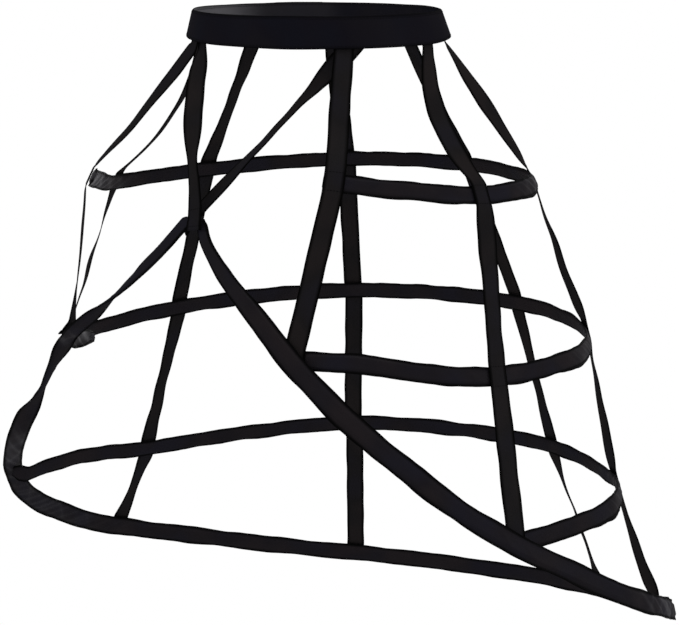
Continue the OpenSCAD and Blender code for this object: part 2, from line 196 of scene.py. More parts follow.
def normalAt(az, tilt):
    az, tilt = np.radians(az), math.radians(tilt)
    rise = np.full(np.shape(az), math.sin(tilt))
    return np.stack([np.cos(az) * math.cos(tilt), np.sin(az) * math.cos(tilt), rise], -1)


def framesOn(route, places, tilt):  # centre, heading, face, edge, share of width at each place
    probe = 0.02
    here = along(route, places)
    ahead = polar(along(route, np.minimum(places + probe, len(route) - 1)))
    behind = polar(along(route, np.maximum(places - probe, 0)))
    heading = unit(ahead - behind)
    rough = normalAt(here[..., 0], tilt)
    level = unit(rough - (rough * heading).sum(-1, keepdims=True) * heading)
    face = turned(level, heading, here[..., 3])
    return polar(here), heading, face, np.cross(face, heading), here[..., 4]


def frameAt(hoop, place):
    return [part[0] for part in framesOn(hoop["route"], np.array([place]), hoop["lean"])]


def behindHem(place, left):
    centre, heading, face, _, _ = frameAt(hemHoop, place)
    turn = along(hemHoop["route"], place)[3]
    level = turned(face, heading, -turn)
    x, y, z = centre - level * (tuck + turnRoom * abs(math.sin(math.radians(turn))))
    az = math.degrees(math.atan2(y, x))
    return np.array([az + 360 if left and az < 0 else az, math.hypot(x, y), z, 0, 1])


def layOutHem(hem):
    r, drop = hem["radius"], hem["drop"]
    hem["route"] = np.array([
        [az, r + inward * (hem["apexRadius"] - r), up * (drop - hem["apexDrop"]) - drop, turn, share]
        for az, inward, up, turn, share in hem["stations"]
    ])


def layOutHoop(hoop):
    r, drop = hoop["radius"], hoop["drop"]
    if "ends" not in hoop:  # a hoop by itself, its stations given by azimuth
        hoop["route"] = np.array([
            [az, r * (1 + out / 100), r * up / 100 - drop, 0, 1] for az, out, up in hoop["stations"]
        ])
        return
    hemRoute, low = hemHoop["route"], hemHoop["lowest"]
    heights = [r * rise / 100 - drop for rise in hoop["ends"]]
    hoop["meets"] = [
        findPlace(hemRoute, 2, heights[0], low, len(hemRoute) - 1),
        findPlace(hemRoute, 2, heights[1], 0, low),
    ]
    start, stop = behindHem(hoop["meets"][0], True), behindHem(hoop["meets"][1], False)
    between = []
    for share, out, up in hoop["stations"]:
        pull = max(0, 1 - share / drawIn) ** 2 * (start[1] - r)
        pull += max(0, 1 - (1 - share) / drawIn) ** 2 * (stop[1] - r)
        az = start[0] + share * (stop[0] - start[0])
        between.append([az, r * (1 + out / 100) + pull, r * up / 100 - drop, 0, 1])
    hoop["route"] = np.array([start, *between, stop])


layOutHem(hemHoop)
for hoop in (upperHoop, middleHoop, lowerHoop):
    layOutHoop(hoop)
print("routes laid out")


# Cloth surfaces: sweeps, folds and meshes


def ripple(s, wave, seed):  # an uneven wave along a length, about -1 to 1
    draw = random.Random(seed)
    total = 0
    for _ in range(6):
        length = wave * draw.uniform(0.6, 1.7)
        total = total + np.sin(2 * math.pi * s / length + draw.uniform(0, 2 * math.pi))
    return total / 3.2  # six waves seldom add up to more


def edgeRipple(s, side, wave, seed):  # a ripple of its own for each edge
    return np.where(side < 0, ripple(s, wave, seed), ripple(s, wave, seed + 1))


def ridges(s, wave, seed):  # sharp folds with soft valleys, 0 to 1
    return (1 - np.abs(ripple(s, wave, seed)).clip(0, 1)) ** 2


def ease(low, high, x):
    t = np.clip((x - low) / (high - low), 0, 1)
    return t * t * (3 - 2 * t)


def hump(x, middle, reach):  # 1 in the middle, fading on both sides
    return np.exp(-(((x - middle) / reach) ** 2))


def edgeRound(mark, start, least):  # 1 up to the start, then round to the edge of the cloth
    return np.sqrt(np.clip(1 - ((np.abs(mark) - start).clip(0) / (1 - start)) ** 2, least, 1))


def runAlong(points):  # length along a line of points, from its first
    return np.concatenate([[0], np.cumsum(np.linalg.norm(np.diff(points, axis=0), axis=1))])


def evenPlaces(route, step, samples=6000):  # places on a route, evenly spaced along its length
    fine = np.linspace(0, len(route) - 1, samples)
    run = runAlong(polar(along(route, fine)))
    lengths = np.linspace(0, run[-1], max(2, round(run[-1] / step)))
    return np.interp(lengths, run, fine), lengths


def tubeFaces(rings, n, first=0, flip=False):
    i, k = np.meshgrid(np.arange(rings - 1), np.arange(n), indexing="ij")
    a = first + i * n + k
    b = first + i * n + (k + 1) % n
    quads = np.stack([a, b, b + n, a + n], -1).reshape(-1, 4)
    return (quads[:, ::-1] if flip else quads).tolist()


def capped(rings, n, first=0):  # faces of a strip of cloth: a flat tube with both ends closed
    start = [first + k for k in range(n)]
    stop = [first + (rings - 1) * n + k for k in range(n)]
    return tubeFaces(rings, n, first, flip=True) + [start, stop[::-1]]


def halfSection(marks):  # marks from the middle to the edge, mirrored into a whole layer
    return np.array([-m for m in reversed(marks[1:])] + marks)


def bothLayers(marks):  # the outer layer from edge to edge, then the inner one back
    return (1, marks), (-1, marks[::-1][1:-1])


def clothPiece(name, points, faces, uv, material, glossAndPaintedSheen=0, rim=0):  # gloss with painted sheen, and painted edge shade: 0 to 1
    mesh = bpy.data.meshes.new(name)
    mesh.from_pydata((np.asarray(points) * mm).tolist(), [], faces)
    corner = np.empty(len(mesh.loops), np.int32)
    mesh.loops.foreach_get("vertex_index", corner)
    masks = [np.broadcast_to(mask, len(points)) for mask in (glossAndPaintedSheen, rim)]
    maps = {"cloth": np.asarray(uv) * mm, "masks": np.stack(masks, -1)}
    for label, values in maps.items():
        layer = mesh.uv_layers.new(name=label)
        layer.data.foreach_set("uv", values[corner].astype(np.float32).ravel())
    mesh.polygons.foreach_set("use_smooth", np.ones(len(mesh.polygons), bool))
    mesh.materials.append(material)
    piece = bpy.data.objects.new(name, mesh)
    bpy.context.scene.collection.objects.link(piece)
    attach(piece, "root")
    return piece


# Materials


class Wire:  # a node socket that takes part in arithmetic
    def __init__(self, tree, socket=None):
        self.tree = tree
        self.socket = socket

    def node(self, kind, settings=None, output=0, **inputs):
        made = self.tree.nodes.new(kind)
        for key, value in (settings or {}).items():
            setattr(made, key, value)
        for key, value in inputs.items():
            place = int(key[1:]) if key[0] == "i" and key[1:].isdigit() else key.replace("_", " ")
            if isinstance(value, Wire):
                self.tree.links.new(value.socket, made.inputs[place])
            else:
                made.inputs[place].default_value = value
        return Wire(self.tree, made.outputs[output] if len(made.outputs) else None)

    def maths(self, operation, first, second=0.0):
        return self.node("ShaderNodeMath", {"operation": operation}, i0=first, i1=second)

    def __add__(self, other):
        return self.maths("ADD", self, other)

    def __radd__(self, other):
        return self.maths("ADD", other, self)

    def __sub__(self, other):
        return self.maths("SUBTRACT", self, other)

    def __rsub__(self, other):
        return self.maths("SUBTRACT", other, self)

    def __mul__(self, other):
        return self.maths("MULTIPLY", self, other)

    def __rmul__(self, other):
        return self.maths("MULTIPLY", other, self)

    def sine(self):
        return self.maths("SINE", self)


def startMaterial(name):
    material = bpy.data.materials.new(name)
    material.use_nodes = True
    tree = material.node_tree
    tree.nodes.clear()
    return material, Wire(tree)


def endMaterial(shade, surface):
    shade.node("ShaderNodeOutputMaterial", i0=surface)


def objectPlace(shade):
    return shade.node("ShaderNodeTexCoord", output=3)


def noise(shade, scale, detail, rough=0.5):
    return shade.node(
        "ShaderNodeTexNoise", Vector=objectPlace(shade), Scale=scale, Detail=detail, Roughness=rough)


def mixed(shade, share, first, second):
    return shade.node("ShaderNodeMix", {"data_type": "RGBA"}, output=2, i0=share, i6=first, i7=second)


def embossed(shade, strength, depth, height):
    return shade.node("ShaderNodeBump", Strength=strength, Distance=depth * mm, Height=height)


# each cloth's brightest colour is a painted highlight, and its darkest, along the edges, is painted shade
clothLooks = {
    "casing": {
        "dark": (0.0066, 0.0058, 0.0073, 1),
        "light": (0.0118, 0.0103, 0.0126, 1),
        "warm": (0.0116, 0.0095, 0.0108, 1),
        "cool": (0.0090, 0.0084, 0.0122, 1),
        "rim": (0.0009, 0.0008, 0.0009, 1),
        "bright": (0.130, 0.126, 0.135, 1),
        "weave": "satin", "pitch": 0.7, "depth": 0.10,
        "rough": 0.6, "roughSwing": 0.12, "coat": 0.03, "shine": 0.25,
    },
    "band": {
        "dark": (0.0043, 0.0039, 0.0061, 1),
        "light": (0.0061, 0.0055, 0.0083, 1),
        "warm": (0.0060, 0.0054, 0.0074, 1),
        "cool": (0.0050, 0.0050, 0.0080, 1),
        "rim": (0.0022, 0.0020, 0.0026, 1),
        "bright": (0.150, 0.146, 0.158, 1),
        "weave": "satin", "pitch": 0.8, "depth": 0.08,
        "rough": 0.6, "roughSwing": 0.10, "coat": 0.02, "shine": 0.2,
    },
    "tape": {
        "dark": (0.0066, 0.0060, 0.0064, 1),
        "light": (0.0114, 0.0104, 0.0110, 1),
        "warm": (0.0116, 0.0098, 0.0100, 1),
        "cool": (0.0095, 0.0088, 0.0110, 1),
        "rim": (0.0009, 0.0008, 0.0008, 1),
        "bright": (0.020, 0.019, 0.022, 1),
        "weave": "ribs", "pitch": 1.1, "depth": 0.16,
        "rough": 0.65, "roughSwing": 0.10, "coat": 0.015, "shine": 0.2,
    },
}
clothGrain = {  # what all the cloths share
    "ribs": (0.35, 1.6),  # share and closeness of the threads along a tape
    "satin": (0.4, 0.4, 0.5),  # share of the cross threads, slants of the floats and of the cross threads
    "patches": (26.0, 3.0, 0.55),  # noise: scale, detail, roughness
    "fading": (21.0, 1.0, 0.5),
    "slubs": (420.0, 2.0, 0.6),
    "slubWear": 0.3,  # share of the slubs in the wear
    "warmAt": 0.66,  # fading that is all warm or all cool
    "coolAt": 0.34,
    # share of the painted highlight colour that full gloss mixes in
    "paintedSheenShare": 0.5,
    "weaveRough": 0.03,
    "weaveHeight": 0.5,
    "slubHeight": 1.2,
    "relief": 0.55,
    "coatRough": 0.34,
}


def weaveOf(shade, look, uv):
    run = shade.node("ShaderNodeSeparateXYZ", Vector=uv)
    rise = shade.node("ShaderNodeSeparateXYZ", output=1, Vector=uv)
    turn = 2 * math.pi / (look["pitch"] * mm)
    if look["weave"] == "ribs":  # cords straight across the tape
        share, close = clothGrain["ribs"]
        return (run * turn).sine() + share * (rise * (turn * close)).sine()
    share, step, lift = clothGrain["satin"]  # floats that lie along the cloth, stepped
    return (run * (turn * step) + rise * turn).sine() + share * (run * turn - rise * (turn * lift)).sine()


def clothMaterial(name, look):
    material, shade = startMaterial(name)
    grain = clothGrain
    weave = weaveOf(shade, look, shade.node("ShaderNodeUVMap", {"uv_map": "cloth"}))
    patches = noise(shade, *grain["patches"])
    fading = noise(shade, *grain["fading"])
    slubs = noise(shade, *grain["slubs"])
    masks = shade.node("ShaderNodeUVMap", {"uv_map": "masks"})
    glossAndPaintedSheen = shade.node("ShaderNodeSeparateXYZ", Vector=masks)
    rim = shade.node("ShaderNodeSeparateXYZ", output=1, Vector=masks)
    wear = patches * (1 - grain["slubWear"]) + slubs * grain["slubWear"]
    warmth = shade.node("ShaderNodeMapRange", i0=fading, i1=0.5, i2=grain["warmAt"])
    coolness = shade.node("ShaderNodeMapRange", i0=fading, i1=0.5, i2=grain["coolAt"])
    tint = mixed(shade, wear, look["dark"], look["light"])
    tint = mixed(shade, warmth, tint, look["warm"])
    tint = mixed(shade, coolness, tint, look["cool"])
    # painted highlight: where there is gloss the colour is lightened toward a bright one
    tint = mixed(shade, glossAndPaintedSheen * grain["paintedSheenShare"], tint, look["bright"])
    tint = mixed(shade, rim, tint, look["rim"])  # painted shade darkens the edges
    rough = look["rough"] + look["roughSwing"] * (patches - 0.5) + grain["weaveRough"] * weave
    height = weave * grain["weaveHeight"] + slubs * grain["slubHeight"]
    surface = shade.node(
        "ShaderNodeBsdfPrincipled", Base_Color=tint, Roughness=rough, Specular_IOR_Level=0.0,
        Normal=embossed(shade, grain["relief"], look["depth"], height),
        Coat_Weight=look["coat"] + glossAndPaintedSheen * look["shine"], Coat_Roughness=grain["coatRough"])
    endMaterial(shade, surface)
    return material


threadLook = {
    "dark": (0.0035, 0.0032, 0.0037, 1),
    "light": (0.008, 0.0075, 0.0085, 1),
    "twist": (1400.0, 1.0),  # noise: scale, detail
    "rough": 0.6,
    "roughSwing": 0.15,
}


def threadMaterial(name, look):
    material, shade = startMaterial(name)
    twist = noise(shade, *look["twist"])
    surface = shade.node(
        "ShaderNodeBsdfPrincipled", Base_Color=mixed(shade, twist, look["dark"], look["light"]),
        Roughness=look["rough"] + twist * look["roughSwing"], Specular_IOR_Level=0.0)
    endMaterial(shade, surface)
    return material


# finishes of the hidden pieces: colours at the two ends of the grain, roughness, relief and its depth
boneLook = {
    "low": (0.62, 0.60, 0.55, 1),
    "high": (0.78, 0.76, 0.71, 1),
    "rough": 0.45, "roughSwing": 0.1, "relief": 0.3, "depth": 0.05,
}
tipLook = {
    "low": (0.02, 0.02, 0.022, 1),
    "high": (0.04, 0.04, 0.045, 1),
    "rough": 0.4, "roughSwing": 0.1, "relief": 0.3, "depth": 0.05,
}
pileLook = {
    "low": (0.014, 0.014, 0.016, 1),
    "high": (0.004, 0.004, 0.005, 1),
    "rough": 0.8, "roughSwing": -0.1, "relief": 0.8, "depth": 0.3,
}
plasticGrain = (300.0, 3.0)  # noise: scale, detail
tuftScale = 900.0


def hiddenMaterial(name, look, tufted=False):
    material, shade = startMaterial(name)
    if tufted:
        grain = shade.node("ShaderNodeTexVoronoi", Vector=objectPlace(shade), Scale=tuftScale)
    else:
        grain = noise(shade, *plasticGrain)
    surface = shade.node(
        "ShaderNodeBsdfPrincipled", Base_Color=mixed(shade, grain, look["low"], look["high"]),
        Roughness=look["rough"] + grain * look["roughSwing"],
        Normal=embossed(shade, look["relief"], look["depth"], grain))
    endMaterial(shade, surface)
    return material


casingCloth = clothMaterial("casingCloth", clothLooks["casing"])
bandCloth = clothMaterial("bandCloth", clothLooks["band"])
tapeCloth = clothMaterial("tapeCloth", clothLooks["tape"])
blackThread = threadMaterial("blackThread", threadLook)
boneWhite = hiddenMaterial("boneWhite", boneLook)
tipPlastic = hiddenMaterial("tipPlastic", tipLook)
fastenerPile = hiddenMaterial("fastenerPile", pileLook, tufted=True)
print("materials made")


# Stitches: short spindles of thread that lie on the cloth

stitchShape = {
    "pitch": 3.3,
    "length": 2.5,
    "radius": 0.24,
    "sides": 5,
    "rings": [(-0.7, 0.7, 0.0), (0, 1.0, 0.25), (0.7, 0.7, 0.0)],  # shares: place along, thickness, lift
    "dip": 0.6,  # share of the radius by which the ends go down
}


def stitchPiece(name, spots, headings, normals):
    n, r, half = stitchShape["sides"], stitchShape["radius"], stitchShape["length"] / 2
    spots, headings, normals = (np.concatenate(v) for v in (spots, headings, normals))
    across = unit(np.cross(normals, headings))
    up = np.cross(headings, across)
    turn = 2 * math.pi * np.arange(n) / n
    circle = across[:, None] * np.cos(turn)[None, :, None] + up[:, None] * np.sin(turn)[None, :, None]
    rings = [
        (spots + headings * half * place + up * r * lift)[:, None] + circle * r * thick
        for place, thick, lift in stitchShape["rings"]
    ]
    ends = [(spots + headings * half * way - up * r * stitchShape["dip"])[:, None] for way in (-1, 1)]
    points = np.concatenate(rings + ends, 1)
    count = points.shape[1]
    head, tail, lastRing = count - 2, count - 1, count - 2 - n
    one = tubeFaces(len(rings), n)
    one += [[head, (k + 1) % n, k] for k in range(n)]
    one += [[tail, lastRing + k, lastRing + (k + 1) % n] for k in range(n)]
    faces = [[v + i * count for v in face] for i in range(len(spots)) for face in one]
    uv = np.zeros((len(spots) * count, 2))
    clothPiece(name, points.reshape(-1, 3), faces, uv, blackThread)


# Casings: sleeves of cloth sewn flat along both edges, with a bone in the pocket between

casingCut = {
    "step": 1.8,  # ring spacing
    "boneHalf": 4.6,  # half the width that the bone lifts
    "bulge": 1.9,  # half the thickness over the bone
    "bulgeFade": 3,  # width over which the bulge runs out
    "flange": 0.42,  # half the thickness of the sewn edges
    "looseFrom": 1.5,  # distance from the bulge at which the edges start to wave
    "stitchIn": 2.2,  # stitch line to the edge
    "stitchProud": 0.1,
    "seamWide": 0.6,
    "seamDeep": 0.14,
    "endFlat": 3,  # length over which the ends are sewn flat
    "endBulge": 0.4,  # share of the bulge that is left there
    "endBlunt": 0.15,  # share of the folded corners that is left square
    "edgeIn": 0.3,
    "edgeFrom": 0.93,  # share of the half width where the edge starts to round
    "edgeThin": 0.02,
    "rim": (0.62, 0.9),  # shares of the half width over which painted shade darkens the edge
    "innerShift": 2.2,  # widths by which the weave of the inner layer is shifted
}
pocketCut = {
    "wide": 6.2,  # half the width
    "deep": 1.45,  # half the depth
    "mostWide": 0.76,  # share of the casing's half width
    "sides": 12,
    "squareness": 0.6,  # 1 would be an ellipse
    "cover": 0.15,  # least cloth over it
    "letGo": (2.5, 8),  # width beside it over which the cloth may sink again, and how deep
    "inset": 3,  # rings from the casing's ends
    "every": 6,  # rings
}
casingFolds = {  # height, length of the wave
    "edge": (0.55, 62),
    "fray": (0.12, 17),
    "flange": (0.7, 75),
    "pucker": (0.12, 7.5),
    "drag": (0.35, 46),
    "puckerAway": 0.3,  # share of the puckers away from the seam
    "puckerSlant": 2,
    "dragSlant": 1.4,
    "crumples": ((40, 1.6), (66, -0.9)),  # the two ways that crumples run: length of the wave, slant
    "crumpleMix": (0.7, 0.8),  # share of the second way, height that counts as flat
    "crumpleOver": 0.35,  # share of a crumple over the bone
    "shineMix": (0.5, 0.2),  # share of the second way, gloss and painted sheen between the crests
}
casingMarks = halfSection([0, 0.16, 0.32, 0.45, 0.56, 0.66, 0.75, 0.83, 0.9, 0.96, 0.99, 1])

# crumpled places on each casing: azimuth, reach along the casing, depth of the folds, gloss with painted
# sheen
upperHoop["crumples"] = [(174, 55, 0.7, 1.1), (-10, 42, 0.8, 0.34)]
middleHoop["crumples"] = [(192, 24, 0.6, 0.8), (-8, 55, 0.6, 0.26)]
lowerHoop["crumples"] = [(-4, 62, 1.1, 0.34)]
hemHoop["crumples"] = [
    (-19, 60, 1.6, 0.28), (165, 40, 0.5, 0.4), (148, 80, 0.3, 0.18), (194, 16, 0.25, 0.2),
]

# length over which the corners of the first and the last end are folded in
upperHoop["endRounds"] = (6, 6)
middleHoop["endRounds"] = (24, 6)
lowerHoop["endRounds"] = (6, 6)
hemHoop["endRounds"] = (14, 6)

# places where the lower edge hangs: azimuth, reach along the casing, extra width
upperHoop["droops"] = [(-20, 24, 3)]
middleHoop["droops"] = [(-22, 30, 2.5)]
lowerHoop["droops"] = [(-21, 30, 4)]
hemHoop["droops"] = []

# cloth beyond the first end, sewn out to the hem: length along the hoop, reach outward
upperHoop["tab"] = middleHoop["tab"] = hemHoop["tab"] = (0, 0)
lowerHoop["tab"] = (8, 13)


class Casing:  # the deformed surface of one casing, asked for points by place along and across it
    def __init__(self, hoop, seed):
        self.hoop = hoop
        self.seed = seed
        step = casingCut["step"]
        places, lengths = evenPlaces(hoop["route"], step)
        self.frames = framesOn(hoop["route"], places, hoop["lean"])
        azimuths = along(hoop["route"], places)[:, 0]
        self.tabRings = round(math.hypot(*hoop["tab"]) / step)
        self.tabLength = self.tabRings * step
        self.lengths = np.concatenate([np.arange(self.tabRings) * step, lengths + self.tabLength])
        if self.tabRings:
            self.frames = self.withTab(self.frames)
            azimuths = np.concatenate([np.full(self.tabRings, azimuths[0]), azimuths])
        self.crumples = [(self.lengthAt(azimuths, az), *rest) for az, *rest in hoop["crumples"]]
        self.droops = [(self.lengthAt(azimuths, az), *rest) for az, *rest in hoop["droops"]]

    def withTab(self, frames):  # the first frame carried on along a bend that swings outward
        long, out = self.hoop["tab"]
        centre, heading, face, edge, share = (part[0] for part in frames)
        t = np.linspace(1, 0, self.tabRings, endpoint=False)[:, None]
        bend = [
            centre - heading * long * t + face * out * t**2,
            unit(heading * long - face * 2 * out * t),
            unit(face * long + heading * 2 * out * t),
            np.broadcast_to(edge, (self.tabRings, 3)),
            np.full(self.tabRings, share),
        ]
        return [np.concatenate(pair) for pair in zip(bend, frames)]

    def lengthAt(self, azimuths, az):
        return self.lengths[np.argmin(np.abs(azimuths - az))]

    def droop(self, s):  # how far the lower edge hangs beyond its straight line
        return sum(extra * hump(s, middle, reach) for middle, reach, extra in self.droops)

    def folds(self, s, x):  # nearness, depth, gloss with painted sheen, and the folds both ways of each crumpled place
        for number, (middle, reach, depth, glossAndPaintedSheen) in enumerate(self.crumples):
            seed = self.seed + 50 + 4 * number
            one, other = (
                ridges(s + slant * x, wave, seed + way)
                for way, (wave, slant) in enumerate(casingFolds["crumples"])
            )
            yield hump(s, middle, reach), depth, glossAndPaintedSheen, one, other

    def crumpled(self, s, x):
        share, flat = casingFolds["crumpleMix"]
        folds = self.folds(s, x)
        return sum(near * depth * (one + share * other - flat) for near, depth, _, one, other in folds)

    def shine(self, s, x):  # the crests of crumpled satin get gloss and a painted highlight
        share, least = casingFolds["shineMix"]
        folds = self.folds(s, x)
        total = 0
        for near, _, glossAndPaintedSheen, one, other in folds:
            total = total + near * glossAndPaintedSheen * (least + one**2 + share * other**2)
        return np.clip(total, 0, 1)

    def halfWidth(self, index):  # half the casing's width, less where an end's corners are folded in
        s = self.lengths[index]
        fromEnd = np.minimum(s, self.lengths[-1] - s)
        first, last = self.hoop["endRounds"]
        reach = np.where(s < self.lengths[-1] / 2, first, last)
        rounded = np.sqrt(1 - (1 - np.clip(fromEnd / reach, casingCut["endBlunt"], 1)) ** 2)
        return self.hoop["width"] / 2 * self.frames[4][index] * rounded

    def edgeFray(self, s, side):
        high, wave = casingFolds["edge"]
        fineHigh, fineWave = casingFolds["fray"]
        fine = fineHigh * edgeRipple(s, side, fineWave, self.seed + 2)
        return high * edgeRipple(s, side, wave, self.seed) + fine

    def bulgeAt(self, s, out):  # 1 over the bone, 0 on the sewn edges
        cut = casingCut
        fromBone = np.minimum(s - self.tabLength, self.lengths[-1] - s)
        kept = cut["endBulge"] + (1 - cut["endBulge"]) * ease(0, cut["endFlat"], fromBone)
        return (1 - ease(cut["boneHalf"], cut["boneHalf"] + cut["bulgeFade"], out)) * kept

    def thickness(self, s, x, half, bulge, layer):  # from the casing's middle to one of its layers
        cut, folds = casingCut, casingFolds
        seam = hump(np.abs(x), half - cut["stitchIn"], cut["seamWide"])
        puckerHigh, puckerWave = folds["pucker"]
        dragHigh, dragWave = folds["drag"]
        puckers = ripple(s + folds["puckerSlant"] * layer * x, puckerWave, self.seed + 6)
        drags = ridges(s + folds["dragSlant"] * layer * x, dragWave, self.seed + 8 + layer)
        y = cut["flange"] + (cut["bulge"] - cut["flange"]) * bulge - cut["seamDeep"] * seam
        y = y + puckerHigh * (folds["puckerAway"] + seam) * puckers * (1 - bulge)
        return y + dragHigh * bulge * (drags - 0.5)

    def points(self, index, mark, layer):  # ring, share across (-1 to 1), layer 1 outside or -1 inside
        cut, folds = casingCut, casingFolds
        centre, _, face, edge, _ = (part[index] for part in self.frames)
        s = self.lengths[index]
        side = np.sign(mark)
        half = self.halfWidth(index)
        hangs = np.where(side * edge[..., 2] < 0, self.droop(s), 0)
        x = mark * (half - cut["edgeIn"]) + side * np.abs(mark) ** 3 * (self.edgeFray(s, side) + hangs)
        out = np.abs(x)
        bulge = self.bulgeAt(s, out)
        y = self.thickness(s, x, half, bulge, layer) * edgeRound(mark, cut["edgeFrom"], cut["edgeThin"])
        loose = ease(cut["boneHalf"] + cut["looseFrom"], half, out)
        flangeHigh, flangeWave = folds["flange"]
        bend = flangeHigh * loose * edgeRipple(s, side, flangeWave, self.seed + 4)
        over = folds["crumpleOver"]
        bend = bend + self.crumpled(s, x) * (over + (1 - over) * loose)
        beside, deep = pocketCut["letGo"]
        held = (pocketCut["deep"] + pocketCut["cover"]) * bulge
        held = held - deep * ease(pocketCut["wide"], pocketCut["wide"] + beside, out)
        height = np.maximum(y + layer * bend, held)  # the bone keeps the folds from sinking in
        return centre + edge * x[..., None] + face * (layer * height)[..., None], s, x

    def skin(self, index):  # rings of points all the way round, their places on the cloth, gloss with painted sheen, and painted edge shade
        layers = []
        for layer, marks in bothLayers(casingMarks):
            grid, at = np.meshgrid(index, marks, indexing="ij")
            points, s, x = self.points(grid, at, layer)
            shift = 0 if layer > 0 else casingCut["innerShift"] * self.hoop["width"]
            layers.append((points, s, x + shift, self.shine(s, x), ease(*casingCut["rim"], np.abs(at))))
        points, s, x, glossAndPaintedSheen, rim = (np.concatenate(pair, 1) for pair in zip(*layers))
        return points, np.stack([s, x], -1).reshape(-1, 2), glossAndPaintedSheen.reshape(-1), rim.reshape(-1)

    def pocket(self, index):  # the sleeve inside, squarish, that holds the bone
        centre, _, face, edge, _ = (part[index] for part in self.frames)
        turn = 2 * math.pi * np.arange(pocketCut["sides"]) / pocketCut["sides"]
        across, up = (np.sign(v) * np.abs(v) ** pocketCut["squareness"] for v in (np.cos(turn), np.sin(turn)))
        x = np.minimum(pocketCut["wide"], pocketCut["mostWide"] * self.halfWidth(index))[:, None] * across
        y = pocketCut["deep"] * up
        points = centre[:, None] + edge[:, None] * x[..., None] + face[:, None] * y[None, :, None]
        uv = np.stack(np.broadcast_arrays(self.lengths[index][:, None], x), -1)
        return points, uv.reshape(-1, 2)


def buildCasing(name, node, hoop, seed):
    casing = Casing(hoop, seed)
    index = np.arange(len(casing.lengths))
    points, uv, glossAndPaintedSheen, rim = casing.skin(index)
    rings, n = points.shape[:2]
    inset = pocketCut["inset"]
    pocket, pocketUv = casing.pocket(index[inset + casing.tabRings:-inset:pocketCut["every"]])
    pocketRings, sides = pocket.shape[:2]
    faces = capped(rings, n) + capped(pocketRings, sides, rings * n)
    allPoints = np.concatenate([points.reshape(-1, 3), pocket.reshape(-1, 3)])
    allUv = np.concatenate([uv, pocketUv])
    inside = np.zeros(pocketRings * sides)
    glossAndPaintedSheen, rim = (np.concatenate([mask, inside]) for mask in (glossAndPaintedSheen, rim))
    piece = clothPiece(name, allPoints, faces, allUv, casingCloth, glossAndPaintedSheen, rim)
    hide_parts(node)
    flat = (2 * hoop["width"] * mm, casing.lengths[-1] * mm)
    casingStitches(name + "Stitches", casing)
    print(name, "length", round(flat[1], 3), "rings", rings)


def casingStitches(name, casing):
    every = stitchShape["pitch"] / casingCut["step"]
    index = np.unique(np.round(np.arange(2, len(casing.lengths) - 2, every)).astype(int))
    half = casing.hoop["width"] / 2 * casing.frames[4][index]
    reach = (half - casingCut["stitchIn"]) / (half - casingCut["edgeIn"])
    spots, headings, normals = [], [], []
    for side in (-1, 1):
        for layer in (1, -1):
            here = casing.points(index, side * reach, layer)[0]
            ahead = casing.points(index + 1, side * reach, layer)[0]
            normal = layer * casing.frames[2][index]
            spots.append(here + normal * casingCut["stitchProud"])
            headings.append(unit(ahead - here))
            normals.append(normal)
    stitchPiece(name, spots, headings, normals)


hoops = {"upper": upperHoop, "middle": middleHoop, "lower": lowerHoop, "hem": hemHoop}
for number, (label, hoop) in enumerate(hoops.items()):
    buildCasing(label + "Casing", label + "_casing", hoop, 100 * (number + 1))


# Tapes: woven strips that hang from the waist and are sewn to the casings

tapeLook = {
    "step": 2.0,  # ring spacing
    "freePoints": 30,  # points of the line in a free stretch, and on a seat
    "seatPoints": 9,
    "cornerRounds": 3,  # how often the corners at the seats are smoothed, and the turns
    "turnRounds": 12,
    "edgeIn": 0.2,
    "edgeFrom": 0.95,  # share of the half width where the edge starts to round
    "edgeThin": 0.03,
    "thinner": 0.06,  # how far each face lies inside the cut's thickness
    "selvage": 0.15,  # share by which the edges are thicker, and where they start
    "selvageFrom": (0.88, 0.95),
    "endFold": 10,  # length of the folded end
    "foldStep": 1.5,
    "foldThick": 0.5,
    "foldWide": 0.3,
    "stitchIn": 2.4,
    "stitchProud": 0.1,
    "boxStitches": 6,  # across the tape
    # painted edge shade: shares of the half width over which it darkens the edge
    "rim": (0.62, 0.9),
    "innerShift": 1.1,
}
tapeFolds = {  # height in a free stretch, length of the wave
    "edge": (0.25, 42),
    "cup": (0.7, 120),
    "wave": (0.45, 55),
    "tilt": (0.6, 70),  # its height is a share of the wave's
    "cupRest": 0.33,  # keeps the middle of a cupped tape on its line
}
tapeMarks = halfSection([0, 0.2, 0.4, 0.6, 0.76, 0.88, 0.95, 0.99, 1])

facingOut = waist["radius"] + waist["facingThick"]
flatSag = tapeCut["width"] ** 2 / 8 / waist["radius"]  # how far a flat tape stands off the round band
layerPitch = tapeCut["thick"] + sewGap + 3 * flatSag
leftShare = -160  # azimuths at the waist where two tapes lie on each other
frontShare = -78
leftEndStep = -0.15  # stations along the hem from a hoop's end to the tape there
frontEndStep = 0.06
climbSeat = tapeSeat + 3 * sewGap  # hem's middle to a tape that ends on its climb
climbReach = 10  # length of such a tape on the hem, above and below its middle
climbEnd = 3
apexRoom = 2.2  # more room where the ends of the hem meet


def bandInside(z):
    return facingOut + sewGap + waist["flare"] * (waist["height"] / 2 - z) / waist["height"]


def waistPoint(az, z, layer):
    r = bandInside(z) - 2 * flatSag - sewGap - tapeCut["thick"] / 2 - layer * layerPitch
    return polar(np.array([az, r, z])), normalAt(az, 0)


def waistPoints(azTop, azEdge, layer=0):
    low = -waist["height"] / 2
    return [
        waistPoint(azTop, low + waist["seamDepth"], layer),
        waistPoint(azEdge, low - waist["hang"], layer),
    ]


